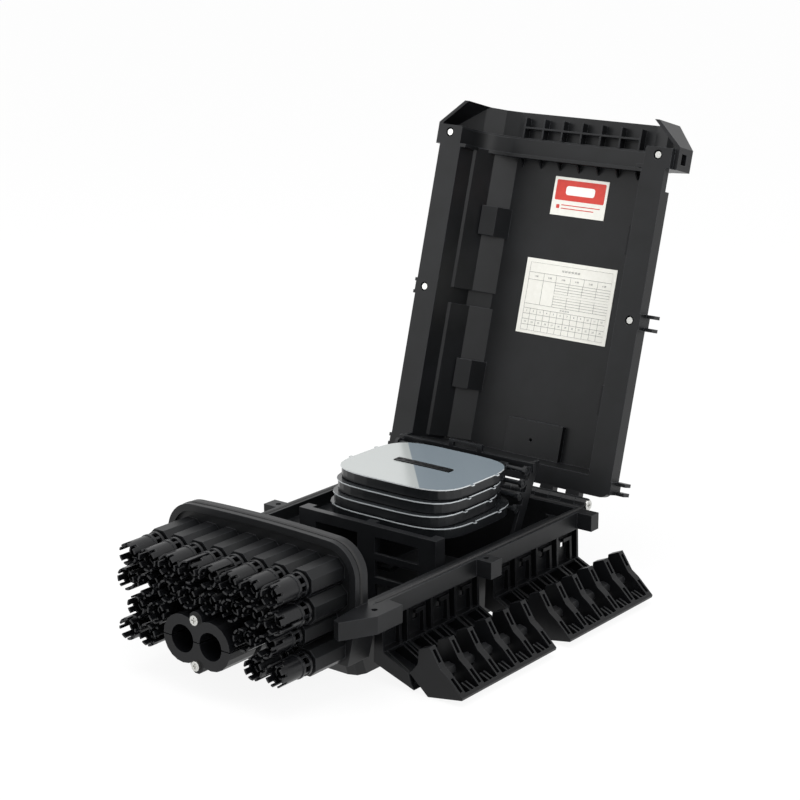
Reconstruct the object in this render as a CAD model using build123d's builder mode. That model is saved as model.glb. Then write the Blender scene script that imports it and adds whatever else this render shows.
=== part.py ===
from build123d import *
from math import copysign, cos, radians, sin
import os

# Fibre distribution box with 24 drop ports, one oval cable port, a hinged lid held by four
# side latches, and a stack of four splice trays. Millimetres. X to the latch side on the right,
# ports at -Y, hinge at +Y, Z up, the origin on the floor under the middle of the base.

os.makedirs("parts", exist_ok=True)

# Clearances, and how many flats the small round forms have
round_flats = 10
small_flats = 8
port_flats = 8
face_gap = 0.5
seat_gap = 0.1
turn_gap = 0.3
split_gap = 1.0
open_cut = 1.0

# Base tub and rim
base_wall = 3.0
floor_half_width = 69.0
floor_front = -116.0
floor_back = 138.0
tub_half_width = 76.0
tub_front = -143.0
tub_back = 142.0
tub_corner = 10.0
rim_top = 72.5
rim_height = 14.0
rim_half_width = 103.0
rim_band = 8.0
rim_front = -149.0
rim_back = 147.0
rim_corner = 9.0
shelf_bottom = rim_top - rim_height
shelf_top = shelf_bottom + base_wall

# Port wall with its arch above the rim
arch_half_width = 94.0
arch_top = 117.0
arch_crown = 3.0
arch_corner = 26.0
arch_depth = 14.0
arch_band = 6.0
port_wall = 7.0
port_recess = 3.0
recess_inset = 5.5
arch_groove_depth = 2.0
arch_groove_front = 5.0
port_floor = 24.0
port_floor_half_width = 86.0
port_block_back = -124.0
port_block_floor = 30.0
port_passage_half = 62.0
gasket_width = 3.0
gasket_depth = 2.5
seal_foot = 1.0
seal_stand = 0.3

# Drop ports
port_pitch = 20.2
port_top_row = 96.0
row_pitch = 20.0
sleeve_width = 20.6
sleeve_chamfer = 5.5
sleeve_length = 33.5
port_radius = 8.0
blank_start = 8.0
blank_length = 12.0
row_b_pitch = 21.0
row_c_inner = 43.0
row_c_outer = 64.0
row_d_inner = 53.0
row_d_outer = 73.5

# Drop clamps
neck_step = 0.1
collar_step = 1.0
collar_start = 14.0
jaw_start = 18.0
jaw_end = 41.0
jaw_split = 2.4
jaw_reach = 7.6
jaw_half = 6.6
notch_depth = 6.0
notch_width = 4.0
clamp_seat = 7.0
turn_step = 37

# Oval cable port and its clamp
cable_spacing = 14.0
cable_radius = 11.0
clamp_lobe = 19.0
clamp_level = 44.0
clamp_front = -218.5
clamp_back = -189.0
clamp_boss = 6.5
clamp_screw_reach = 18.0
neck_radius = 16.0
oval_wall = 3.0
lobe_flats = 20
seal_squeeze = 1.0
seal_length = 26.0
seal_offset = 4.0
clamp_neck = 8.0
clamp_hole = 2.1
clamp_shank = 2.0
clamp_head = 4.0
clamp_head_height = 2.2
clamp_screw_length = 22.0

# Screw ears
ear_reach = 117.0
ear_screw = 107.0
ear_hole = 2.6
front_ear_screw = -143.5
front_ear = ((93.0, -148.0), (97.0, -177.5), (103.0, -179.5), (117.0, -152.0), (117.0, -123.0),
             (102.0, -121.0))
mid_ear_screw = -4.5
mid_ear_length = 14.0
rear_ear = 136.0
rear_ear_length = 11.0

# Hinge
hinge_y = 153.5
hinge_z = 72.0
hinge_barrel = 5.5
hinge_pin_radius = 2.5
hinge_end = 98.0
hinge_head = 1.6
cross_length = 4.6
cross_width = 1.0
hinge_knuckle = 12.0
hinge_pitch = 26.0
hinge_first = 36.0
knuckle_side = 3.8
lid_open = 105.5

# Lid
lid_top = 130.0
lid_wall = 3.5
lid_seat = rim_top + face_gap
lid_flange = 7.0
lid_flange_half = 116.0
keeper_height = 6.0
keeper_width = 6.0
lid_side = 97.0
lid_shoulder = 90.0
lid_shoulder_z = 113.0
lid_crown_half = 71.0
lid_front = -150.0
lid_back = 145.0
lid_back_top = 132.0
bulge_spans = ((-134.0, -8.0), (6.0, 126.0))
bulge_pads = (-85.0, 54.0)
bulge_depth = 5.0
pad_length = 26.0
rear_box_y = 116.0
rear_box_x = 2.0
rear_box_width = 58.0
rear_box_length = 38.0
rear_box_height = 5.0
rear_box_hole = 1.6
bulge_bite = 0.6
bulge_foot = 14.0
pad_height = 8.0
keeper_end = 5.0
lid_ear_reach = 118.0
lid_ear_length = 16.0
fork_wall = 3.0
fork_length = 12.0
well_radius = 4.2
well_depth = 4.0

# Hood of the lid and the beam round its mouth
beam_wall = 4.0
beam_back = -131.5
beam_rebate = 1.5
hood_front = -173.0
hood_half = 100.0
hood_edge = 86.0
hood_fall = 4.0
hood_side_top = 113.0
hood_wall = 3.0
slanted_wall = 4.5
cheek_reach = 124.0
cheek_front = -152.0
cheek_back = -133.0
cheek_floor = 78.0
cheek_top = 100.0
cheek_slot_front = -147.0
cheek_slot_back = -138.0
cheek_slot_floor = 83.0
cheek_slot_height = 8.0
cheek_slot_depth = 9.0
web_count = 7
web_pitch = 20.0
web_wall = 1.6
web_height = 8.0
web_front = -168.0
gusset = 8.0

# Lid screws
shank_radius = 2.1
shank_length = 19.5
collar_radius = 3.0
collar_height = 2.0

# Side latches
link_hinge_x = 87.0
link_hinge_z = 55.0
link_knuckle = 3.2
link_pin_radius = 2.0
latch_length = 123.0
latch_starts = (-113.2, 29.5)
lever_x = 138.1
lever_z = 17.6
rod_radius = 3.5
claw_width = 6.5
claw_count = 6
claw_pitch = (latch_length - claw_width) / (claw_count - 1)
lug_width = 3.0
lug_slot = 5.0
lug_outline = ((-7.0, 4.5), (7.0, 4.5), (2.5, -3.2), (-2.5, -3.2))
rib = 2.5
skin = 2.2
cell_count = 4
lug_offset = 6.5 + 1.25
arm_rib = 1.6
clip_width = 8.0
clip_wall = 3.0
claw_wall = 1.6

# Splice trays and their rack
tray_half_width = 61.0
tray_length = 99.0
tray_front = 4.5
tray_points = 32
tray_roundness = 0.5
low_tray_grow = 5.0
low_tray_shift = 11.0
tray_count = 4
tray_pitch = 9.8
tray_stagger = 4.9
tray_height = 8.0
tray_wall = 1.6
cover_thickness = 1.0
top_cover_level = 112.5
cover_overhang = 0.8
cover_tab = 3.0
tab_places = (-16.0, 18.0)
tray_slot_y = 1.5
tray_slot_length = 58.0
tray_slot_width = 8.0
coil_radius = 16.0
coil_spread = 31.0
comb_teeth = 6
comb_pitch = 6.0
trunnion_radius = 2.0
trunnion_inset = 4.0
trunnion_start = 40.0
rack_half_width = 68.0
rack_plate = 3.0
rack_arm = 10.0
rack_arm_offset = 6.0
rack_arm_foot = 24.0
rack_leg_half = 64.5
rack_leg_height = 32.0
rack_leg = 4.0
rack_foot = 16.0
crossbar_rise = 5.0
crossbar_height = 7.5
hoop_half_width = 17.0
hoop_height = 6.0

# Labels
label_thickness = 0.4
label_fields = (("chart_label", 9, -12, 94, 67), ("small_label", 5, -103, 56, 34))

# Holder frame
frame_y = -20.5
frame_half_width = 70.0
frame_top = 82.0
frame_plate = 3.0
frame_depth = 12.0
frame_post = 9.0
frame_levels = (66.0, 46.0, 26.0)
frame_window = 14.0
frame_foot = 62.0

hinge_axis = Axis((0, hinge_y, hinge_z), (1, 0, 0))
front_plane = Plane.XZ.offset(-rim_front)
screw_spots = [(s * ear_screw, y) for s in (1, -1) for y in (front_ear_screw, mid_ear_screw)]
ear_pairs = ((mid_ear_screw, mid_ear_length), (rear_ear, rear_ear_length))
passage_depth = port_block_back - rim_front - port_wall - base_wall
passage_middle = rim_front + port_wall + passage_depth / 2


def both_sides(points):
    """Right half of a symmetric outline followed by its mirror image, as one loop."""
    return list(points) + [(-x, level) for x, level in reversed(points)]


def tub_outline(half, front, back, corner):
    """Plan of the tub at one level, its corners rounded off by two flats each."""
    near = corner * 0.3
    right = ((half - corner, front), (half - near, front + near), (half, front + corner),
             (half, back - corner), (half - near, back - near), (half - corner, back))
    Polygon(*both_sides(right))


def save(piece, label):
    """Label a finished piece and write it as its own file."""
    piece.label = label
    export_step(piece, "parts/" + label + ".step")


def save_open(piece, label):
    """Swing a piece of the lid, drawn shut, to its open rest and write it."""
    save(piece.rotate(hinge_axis, -lid_open), label)


def port_places():
    """Centres of the drop ports, row by row from the top."""
    rows = []
    rows.append([(port_pitch * (i - 3.5), port_top_row) for i in range(8)])
    rows.append([(row_b_pitch * (i - 3.5), port_top_row - row_pitch) for i in range(8)])
    level_c = port_top_row - 2 * row_pitch
    rows.append([(x, level_c) for x in (-row_c_outer, -row_c_inner, row_c_inner, row_c_outer)])
    level_d = port_top_row - 3 * row_pitch
    rows.append([(x, level_d) for x in (-row_d_outer, -row_d_inner, row_d_inner, row_d_outer)])
    return rows


port_rows = port_places()
all_ports = [place for row in port_rows for place in row]


def arch_outline(inset):
    """Closed outline of the port wall and its arch, drawn inside a sketch."""
    side = arch_half_width - inset
    top = arch_top - inset
    foot = port_floor + inset
    foot_side = port_floor_half_width - inset
    with BuildLine() as outline:
        Line((-foot_side, foot), (foot_side, foot))
        Line((foot_side, foot), (side, shelf_bottom))
        Line((side, shelf_bottom), (side, top))
        ThreePointArc((side, top), (0, top + arch_crown), (-side, top))
        Line((-side, top), (-side, shelf_bottom))
        Line((-side, shelf_bottom), (-foot_side, foot))
    make_face(outline.edges())


def round_arch(sketch, inset):
    """Round the two shoulders of an arch."""
    tops = [v for v in sketch.vertices() if v.Y > rim_top]
    fillet(tops, arch_corner - inset)


def arch_band_above_rim(sketch, outer, inner):
    """Strip of the arch between two insets, cut off at the top of the rim."""
    arch_outline(outer)
    round_arch(sketch, outer)
    with BuildSketch(mode=Mode.PRIVATE) as core:
        arch_outline(inner)
        round_arch(core, inner)
    add(core.sketch, mode=Mode.SUBTRACT)
    with Locations((0, rim_top - arch_top / 2 + seal_foot)):
        Rectangle(3 * arch_half_width, arch_top, mode=Mode.SUBTRACT)


def sleeve_section():
    """Chamfered square of one port sleeve."""
    half = sleeve_width / 2
    cut = half - sleeve_chamfer
    Polygon((half, cut), (cut, half), (-cut, half), (-half, cut),
            (-half, -cut), (-cut, -half), (cut, -half), (half, -cut))


# Base shell: tub, rim pan, port wall with arch, sleeves, ears, hinge knuckles and latch lugs
with BuildPart() as base_shell:
    # tapered tub
    with BuildSketch(Plane.XY):
        tub_outline(floor_half_width, floor_front, floor_back, tub_corner)
    with BuildSketch(Plane.XY.offset(shelf_bottom)):
        tub_outline(tub_half_width, tub_front, tub_back, tub_corner)
    loft()
    # rim pan
    with BuildSketch(Plane.XY.offset(shelf_bottom)):
        with Locations((0, (rim_front + rim_back) / 2)):
            RectangleRounded(2 * rim_half_width, rim_back - rim_front, rim_corner)
    extrude(amount=rim_height)
    # port wall and arch
    with BuildSketch(front_plane) as arch:
        arch_outline(0)
        round_arch(arch, 0)
    extrude(amount=-arch_depth)
    # block behind the lower part of the port wall, joined to the tub
    with BuildSketch(front_plane):
        Polygon(*both_sides(((port_floor_half_width, port_floor), (arch_half_width, shelf_bottom),
                             (arch_half_width, shelf_top))))
    extrude(amount=rim_front - port_block_back)
    # hollow of the tub
    with BuildSketch(Plane.XY.offset(base_wall)):
        tub_outline(floor_half_width - base_wall, floor_front + base_wall, floor_back - base_wall,
                    tub_corner - base_wall)
    with BuildSketch(Plane.XY.offset(shelf_top)):
        tub_outline(tub_half_width - base_wall, tub_front + base_wall, tub_back - base_wall,
                    tub_corner - base_wall)
    loft(mode=Mode.SUBTRACT)
    # hollow of the rim pan
    pan_front = rim_front + arch_depth
    pan_back = rim_back - rim_band
    with BuildSketch(Plane.XY.offset(shelf_top)):
        with Locations((0, (pan_front + pan_back) / 2)):
            Rectangle(2 * (rim_half_width - rim_band), pan_back - pan_front)
    extrude(amount=rim_height, mode=Mode.SUBTRACT)
    # hollow of the arch, behind the port wall
    with BuildSketch(front_plane.offset(-port_wall)) as arch_hollow:
        arch_outline(arch_band)
        round_arch(arch_hollow, arch_band)
    extrude(amount=-(arch_depth - port_wall), mode=Mode.SUBTRACT)
    # passage from the back of the port wall into the tub
    with BuildSketch(Plane.XY.offset(port_block_floor)):
        with Locations((0, (rim_front + port_wall + port_block_back) / 2 + 1)):
            Rectangle(2 * port_passage_half, port_block_back - rim_front - port_wall + 2)
        for side in (1, -1):
            with Locations((side * (port_floor_half_width + port_passage_half) / 2, passage_middle)):
                Rectangle(port_floor_half_width - port_passage_half, passage_depth)
    extrude(amount=shelf_top - port_block_floor, mode=Mode.SUBTRACT)
    # recess in the face of the port wall, inside the band of the arch
    with BuildSketch(front_plane) as face_recess:
        arch_outline(recess_inset)
        round_arch(face_recess, recess_inset)
    extrude(amount=-port_recess, mode=Mode.SUBTRACT)
    # groove for the seal round the arch
    with BuildSketch(front_plane.offset(-arch_groove_front)) as arch_groove:
        arch_band_above_rim(arch_groove, -open_cut, arch_groove_depth)
    extrude(amount=-gasket_width, mode=Mode.SUBTRACT)
    # port sleeves and the oval cable port
    with BuildSketch(front_plane.offset(-port_recess)):
        with Locations(*all_ports):
            sleeve_section()
        with Locations((0, clamp_level)):
            SlotCenterToCenter(2 * cable_spacing, 2 * (neck_radius + oval_wall))
    extrude(amount=sleeve_length + port_recess)
    with BuildSketch(front_plane.offset(sleeve_length)):
        with Locations(*all_ports):
            RegularPolygon(port_radius, port_flats, major_radius=False)
        with Locations((0, clamp_level)):
            SlotCenterToCenter(2 * cable_spacing, 2 * neck_radius)
    extrude(amount=-(sleeve_length + port_wall + open_cut), mode=Mode.SUBTRACT)
    # front ears, pointed in plan, with a screw hole
    for side in (1, -1):
        with BuildSketch(Plane.XY.offset(shelf_bottom)):
            Polygon(*[(side * x, y) for x, y in front_ear])
        extrude(amount=rim_height)
    # middle and rear ears
    with BuildSketch(Plane.XY.offset(shelf_bottom)):
        for side in (1, -1):
            reach = ear_reach - rim_half_width + rim_band
            with Locations((side * (ear_reach - reach / 2), mid_ear_screw)):
                Rectangle(reach, mid_ear_length)
            with Locations((side * (ear_reach - reach / 2), rear_ear)):
                Rectangle(reach, rear_ear_length)
    extrude(amount=rim_height)
    with BuildSketch(Plane.XY.offset(rim_top)):
        with Locations(*screw_spots):
            RegularPolygon(ear_hole, small_flats)
    extrude(amount=-(rim_height + open_cut), mode=Mode.SUBTRACT)
    # hinge knuckles on the rear rim
    for side in (1, -1):
        for index in range(3):
            start = hinge_first + index * hinge_pitch
            with BuildSketch(Plane.YZ.offset(side * start)):
                with Locations((hinge_y, hinge_z)):
                    RegularPolygon(hinge_barrel, round_flats)
                Polygon((rim_back - 1, shelf_bottom), (rim_back + 2, shelf_bottom),
                        (hinge_y + knuckle_side, hinge_z - knuckle_side), (hinge_y, hinge_z),
                        (rim_back - 1, rim_top))
            extrude(amount=side * min(hinge_knuckle, hinge_end - start))
    with BuildSketch(Plane.YZ.offset(-hinge_end - open_cut)):
        with Locations((hinge_y, hinge_z)):
            RegularPolygon(hinge_pin_radius + seat_gap, small_flats, major_radius=False)
    extrude(amount=2 * (hinge_end + open_cut), mode=Mode.SUBTRACT)
    # lugs under the shelf that carry the latch pins
    for side in (1, -1):
        for start in latch_starts:
            for cell in range(cell_count):
                lug_y = start + lug_offset + cell * (latch_length - rib) / cell_count
                with BuildSketch(Plane.XZ.offset(-lug_y + lug_width / 2)):
                    Polygon(*[(side * (link_hinge_x + x), link_hinge_z + z) for x, z in lug_outline])
                extrude(amount=-lug_width)
        with BuildSketch(Plane.XZ.offset(-rim_back)):
            with Locations((side * link_hinge_x, link_hinge_z)):
                RegularPolygon(link_pin_radius + seat_gap, small_flats, major_radius=False)
        extrude(amount=rim_back - latch_starts[0], mode=Mode.SUBTRACT)
    # groove for the seal along the rim and over the arch
    groove_half = rim_half_width - rim_band / 2
    with BuildSketch(Plane.XY.offset(rim_top - gasket_depth)) as rim_groove:
        with Locations((0, (pan_front + rim_back - rim_band / 2) / 2)):
            Rectangle(2 * groove_half + gasket_width,
                      rim_back - rim_band / 2 - pan_front + gasket_width)
            Rectangle(2 * groove_half - gasket_width,
                      rim_back - rim_band / 2 - pan_front - gasket_width, mode=Mode.SUBTRACT)
        with Locations((0, pan_front)):
            Rectangle(2 * arch_half_width + 12, 2 * gasket_width + 1, mode=Mode.SUBTRACT)
    extrude(amount=gasket_depth, mode=Mode.SUBTRACT)
save(base_shell.part, "base_shell")


# Seal of the rim: a flat cord that follows the groove on three sides
with BuildPart() as rim_seal:
    with BuildSketch(Plane.XY.offset(rim_top - gasket_depth)):
        seal_back = rim_back - rim_band / 2
        slim = gasket_width - 2 * seat_gap
        with Locations((0, (pan_front + seal_back) / 2)):
            Rectangle(2 * groove_half + slim, seal_back - pan_front + slim)
            Rectangle(2 * groove_half - slim, seal_back - pan_front - slim, mode=Mode.SUBTRACT)
        with Locations((0, pan_front)):
            Rectangle(2 * rim_half_width, 2 * gasket_width + 1 + 2 * seat_gap, mode=Mode.SUBTRACT)
    extrude(amount=gasket_depth + 0.2)
save(rim_seal.part, "rim_seal")

# Seal of the arch: it stands a little out of its groove
with BuildPart() as arch_seal:
    with BuildSketch(front_plane.offset(-arch_groove_front - seat_gap)) as arch_cord:
        arch_band_above_rim(arch_cord, -seal_stand, arch_groove_depth - seat_gap)
    extrude(amount=-(gasket_width - 2 * seat_gap))
save(arch_seal.part, "arch_seal")

# Hollow of the hood: it opens toward the ports and downward
hood_section = ((cheek_reach, cheek_floor), (cheek_reach, cheek_top), (hood_half, hood_side_top),
                (hood_edge, lid_top - hood_fall), (lid_crown_half, lid_top))


def hood_plan(inset):
    """Plan of the hood, with a flat front between two slanted cheeks."""
    Polygon(*both_sides(((hood_half - inset, hood_front - open_cut), (hood_half - inset, hood_front),
                         (cheek_reach - inset, cheek_front), (cheek_reach - inset, cheek_back))))


with BuildPart() as hood_hollow:
    with BuildSketch(Plane.XZ.offset(-lid_front)):
        Polygon(*both_sides(hood_section))
        offset(amount=-hood_wall)
        with Locations((0, cheek_floor)):
            Rectangle(2 * (cheek_reach - hood_wall), 2 * hood_wall + open_cut)
    extrude(amount=lid_front - hood_front + open_cut)
    with BuildSketch(Plane.XY):
        hood_plan(slanted_wall)
    extrude(amount=lid_top, mode=Mode.INTERSECT)

# Hood over the ports: roof, cheeks, and a honeycomb of webs under the roof
with BuildPart() as hood:
    with BuildSketch(Plane.XZ.offset(-cheek_back)):
        Polygon(*both_sides(hood_section))
    extrude(amount=cheek_back - hood_front)
    with BuildSketch(Plane.XY):
        hood_plan(0)
    extrude(amount=lid_top, mode=Mode.INTERSECT)
    add(hood_hollow.part, mode=Mode.SUBTRACT)
    with BuildSketch(Plane.XY.offset(lid_top - hood_wall - web_height)):
        with Locations(*[(web_pitch * (i - (web_count - 1) / 2), (lid_front + web_front) / 2)
                         for i in range(web_count)]):
            Rectangle(web_wall, lid_front - web_front)
        with Locations((0, (lid_front + web_front) / 2)):
            Rectangle(web_pitch * (web_count - 1), web_wall)
    extrude(amount=web_height + hood_wall / 2)
    with BuildSketch(Plane.XY.offset(cheek_slot_floor)):
        for side in (1, -1):
            with Locations((side * cheek_reach, (cheek_slot_front + cheek_slot_back) / 2)):
                Rectangle(2 * cheek_slot_depth, cheek_slot_back - cheek_slot_front)
    extrude(amount=cheek_slot_height, mode=Mode.SUBTRACT)

# Lid shell, drawn shut
lid_length = lid_back - lid_front
lid_section = ((lid_side, lid_seat), (lid_shoulder, lid_shoulder_z), (lid_crown_half, lid_top))
lid_inner = ((lid_side - lid_wall, lid_seat), (lid_shoulder - lid_wall, lid_shoulder_z),
             (lid_crown_half - lid_wall / 2, lid_top - lid_wall))
keeper_front = latch_starts[0] - 1
keeper_back = lid_back - keeper_end
with BuildPart() as lid_shell:
    # flange all round, with a raised keeper along each side
    with BuildSketch(Plane.XY.offset(lid_seat)):
        with Locations((0, (lid_front + lid_back) / 2)):
            RectangleRounded(2 * lid_flange_half, lid_length, rim_corner)
    extrude(amount=lid_flange)
    with BuildSketch(Plane.XY.offset(lid_seat + lid_flange)):
        for side in (1, -1):
            with Locations((side * (lid_flange_half - keeper_width / 2), (keeper_front + keeper_back) / 2)):
                Rectangle(keeper_width, keeper_back - keeper_front)
    extrude(amount=keeper_height)
    # body with sloping shoulders and a sloping back
    with BuildSketch(Plane.XZ.offset(-lid_front)):
        Polygon(*both_sides(lid_section))
    extrude(amount=-lid_length)
    with BuildSketch(Plane.YZ.offset(-lid_flange_half)):
        Polygon((lid_back + 1, lid_seat + lid_flange), (lid_back + 1, lid_top + 1),
                (lid_back_top, lid_top + 1), (lid_back_top, lid_top), (lid_back - 3, lid_seat + 25),
                (lid_back - 2, lid_seat + lid_flange))
    extrude(amount=2 * lid_flange_half, mode=Mode.SUBTRACT)
    # hood, and the beam that closes round the arch of the base
    add(hood.part)
    with BuildSketch(Plane.XZ.offset(-lid_front)) as beam:
        arch_outline(-face_gap - beam_wall)
        round_arch(beam, -face_gap - beam_wall)
    extrude(amount=lid_front - beam_back)
    with BuildSketch(Plane.XY.offset(lid_seat)):
        with Locations((0, (lid_front + beam_back) / 2)):
            Rectangle(3 * arch_half_width, beam_back - lid_front + 2)
    extrude(amount=-lid_top, mode=Mode.SUBTRACT)
    # hollow
    with BuildSketch(Plane.XZ.offset(-beam_back)):
        Polygon(*both_sides(lid_inner))
    extrude(amount=beam_back + lid_wall - lid_back_top, mode=Mode.SUBTRACT)
    # arched mouth: a rebate, the seat of the arch and a clear way through
    with BuildSketch(Plane.XZ.offset(-lid_front)) as rebate:
        arch_outline(-face_gap - beam_rebate)
        round_arch(rebate, -face_gap - beam_rebate)
    extrude(amount=-beam_rebate, mode=Mode.SUBTRACT)
    with BuildSketch(Plane.XZ.offset(-lid_front)) as mouth:
        arch_outline(-face_gap)
        round_arch(mouth, -face_gap)
    extrude(amount=-(rim_front + arch_depth + face_gap - lid_front), mode=Mode.SUBTRACT)
    with BuildSketch(Plane.XZ.offset(-lid_front)) as clear_way:
        arch_outline(arch_band)
        round_arch(clear_way, arch_band)
    extrude(amount=lid_front - beam_back - open_cut, mode=Mode.SUBTRACT)
    # small gussets behind the beam
    for index in range(web_count):
        with BuildSketch(Plane.YZ.offset(web_pitch * (index - (web_count - 1) / 2) - web_wall / 2)):
            Polygon((beam_back - 1, lid_top - lid_wall + 1), (beam_back - 1, lid_top - lid_wall - gusset),
                    (beam_back + gusset, lid_top - lid_wall + 1))
        extrude(amount=web_wall)
    # ears for the screws; the middle and rear ones end in a fork
    with BuildSketch(Plane.XY.offset(lid_seat)):
        for side in (1, -1):
            with Locations((side * (lid_ear_reach + lid_side) / 2, (lid_front + cheek_back) / 2)):
                Rectangle(lid_ear_reach - lid_side + 4, cheek_back - lid_front)
    extrude(amount=cheek_floor - lid_seat + 1)
    with BuildSketch(Plane.XY.offset(lid_seat)):
        for side in (1, -1):
            for ear, length in ear_pairs:
                with Locations((side * (ear_reach - lid_ear_length / 2), ear)):
                    Rectangle(lid_ear_length, length)
    extrude(amount=lid_flange + keeper_height + fork_wall)
    with BuildSketch(Plane.XY.offset(lid_seat + lid_flange + 2)):
        for side in (1, -1):
            for ear, length in ear_pairs:
                for edge in (1, -1):
                    with Locations((side * (ear_reach + 2), ear + edge * (length - fork_wall) / 2)):
                        Rectangle(fork_length, fork_wall)
    extrude(amount=keeper_height + fork_wall)
    # screw wells
    with BuildSketch(Plane.XY.offset(lid_seat - open_cut)):
        with Locations(*screw_spots):
            RegularPolygon(well_radius, round_flats)
    extrude(amount=well_depth + open_cut, mode=Mode.SUBTRACT)
    with BuildSketch(Plane.XY.offset(lid_seat)):
        with Locations(*screw_spots):
            RegularPolygon(shank_radius + turn_gap, small_flats, major_radius=False)
    extrude(amount=lid_top, mode=Mode.SUBTRACT)
    # hinge knuckles
    for side in (1, -1):
        for index in range(2):
            start = hinge_first + hinge_knuckle + turn_gap + index * hinge_pitch
            with BuildSketch(Plane.YZ.offset(side * start)):
                with Locations((hinge_y, hinge_z)):
                    RegularPolygon(hinge_barrel, round_flats)
                Polygon((lid_back - lid_wall, lid_seat + turn_gap), (hinge_y - 2, hinge_z),
                        (hinge_y + knuckle_side, hinge_z + knuckle_side),
                        (hinge_y - 2, lid_seat + lid_flange), (lid_back - lid_wall, lid_seat + lid_flange))
            extrude(amount=side * (hinge_pitch - hinge_knuckle - 2 * turn_gap))
    with BuildSketch(Plane.YZ.offset(-hinge_end - open_cut)):
        with Locations((hinge_y, hinge_z)):
            RegularPolygon(hinge_pin_radius + turn_gap, small_flats, major_radius=False)
    extrude(amount=2 * (hinge_end + open_cut), mode=Mode.SUBTRACT)
    # long inner bulges on both sides, each in two blocks with a pad
    inner_top = lid_top - lid_wall + bulge_bite
    bulge_side = lid_side - lid_wall
    bulge_shoulder = lid_shoulder - lid_wall
    for side in (1, -1):
        for start, end in bulge_spans:
            with BuildSketch(Plane.XZ.offset(-start)):
                Polygon(*[(side * x, z) for x, z in (
                    (bulge_side + bulge_bite, lid_seat + bulge_foot),
                    (bulge_side - bulge_depth, lid_seat + bulge_foot + bulge_depth),
                    (bulge_shoulder - bulge_depth, lid_shoulder_z - 2),
                    (lid_crown_half - bulge_depth, inner_top), (lid_crown_half, inner_top),
                    (bulge_shoulder + bulge_bite, lid_shoulder_z))])
            extrude(amount=start - end)
        for pad in bulge_pads:
            with BuildSketch(Plane.XZ.offset(-pad)):
                Polygon(*[(side * x, z) for x, z in (
                    (bulge_shoulder - bulge_depth, lid_shoulder_z - pad_height),
                    (lid_crown_half - 2, lid_shoulder_z - 2), (lid_crown_half - pad_height, inner_top),
                    (lid_crown_half, inner_top), (bulge_shoulder, lid_shoulder_z))])
            extrude(amount=-pad_length)
    # box for the bracket fixing near the hinge
    with BuildSketch(Plane.XY.offset(lid_top - lid_wall - rear_box_height)):
        with Locations((rear_box_x, rear_box_y)):
            Rectangle(rear_box_width, rear_box_length)
    extrude(amount=rear_box_height + bulge_bite)
    with BuildSketch(Plane.XY.offset(lid_top - lid_wall - rear_box_height - open_cut)):
        with Locations((0, rear_box_y - 2)):
            RegularPolygon(rear_box_hole, small_flats)
    extrude(amount=rear_box_height, mode=Mode.SUBTRACT)
save_open(lid_shell.part, "lid_shell")

# Hinge pin with a screw in each end
with BuildPart() as hinge_pin:
    with BuildSketch(Plane.YZ.offset(-hinge_end)):
        with Locations((hinge_y, hinge_z)):
            RegularPolygon(hinge_pin_radius, small_flats)
    extrude(amount=2 * hinge_end)
save(hinge_pin.part, "hinge_pin")

with BuildPart() as hinge_screws:
    for side in (1, -1):
        with BuildSketch(Plane.YZ.offset(side * hinge_end)):
            with Locations((hinge_y, hinge_z)):
                RegularPolygon(hinge_barrel - 1, round_flats)
        extrude(amount=side * hinge_head)
        with BuildSketch(Plane.YZ.offset(side * (hinge_end + hinge_head))):
            with Locations((hinge_y, hinge_z)):
                Rectangle(cross_length, cross_width)
                Rectangle(cross_width, cross_length)
        extrude(amount=-side * cross_width, mode=Mode.SUBTRACT)
save(hinge_screws.part, "hinge_screws")

# Captive screws in the ears of the lid
with BuildPart() as lid_screws:
    with BuildSketch(Plane.XY.offset(lid_seat + face_gap)):
        with Locations(*screw_spots):
            RegularPolygon(shank_radius, small_flats)
    extrude(amount=shank_length)
    with BuildSketch(Plane.XY.offset(lid_seat + face_gap)):
        with Locations(*screw_spots):
            RegularPolygon(collar_radius, small_flats)
    extrude(amount=collar_height)
save_open(lid_screws.part, "lid_screws")


def save_latch(piece, label):
    """Copy a piece of the front right latch to all four places and write each."""
    for side in (1, -1):
        for index, start in enumerate(latch_starts):
            copy = piece.moved(Location((0, start - latch_starts[0], 0)))
            if side < 0:
                copy = mirror(copy, about=Plane.YZ)
            save(copy, label + ("front" if index == 0 else "rear") + ("_right" if side > 0 else "_left"))


def slab(points, start, width, mode=Mode.ADD):
    """A plate across a latch: an X-Z outline carried along Y."""
    with BuildSketch(Plane.XZ.offset(-start)) as outline:
        Polygon(*points)
    extrude(outline.sketch, amount=-width, mode=mode)


# Latch link: it hangs from the shelf, turns outward at the fold and ends in an arc round
# the rod of its lever
latch_start = latch_starts[0]
cell_pitch = (latch_length - rib) / cell_count
link_plate = [(83, 52), (82, 15), (120, 2.2), (116.2, 9), (115.2, 13.5), (91, 25), (90, 51)]
link_skin = [(83, 52), (82, 15), (120, 2.2), (118.5, 4.9), (84.2, 16.7), (85.2, 52)]
link_ledge = [(83.5, 25), (91, 25), (91, 22.6), (83.5, 22.6)]
link_arm_rib = [(84, 16), (118, 4.5), (116, 11), (91, 24)]
link_bar = [(84, 45), (88, 45), (88, 42), (84, 42)]
link_stem = [(84, 45), (88, 45), (89, 24), (84, 24)]
link_slit = [(80, 41), (80, 36), (95, 36), (95, 41)]
lug_window = [(78, 38), (78, 62), (95, 62), (95, 38)]
clip_arm = [(114.5, 13), (118.6, 4), (130, 9), (lever_x - 3, lever_z - 6),
            (lever_x - 4.5, lever_z + 4.5), (126, 16)]
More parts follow.
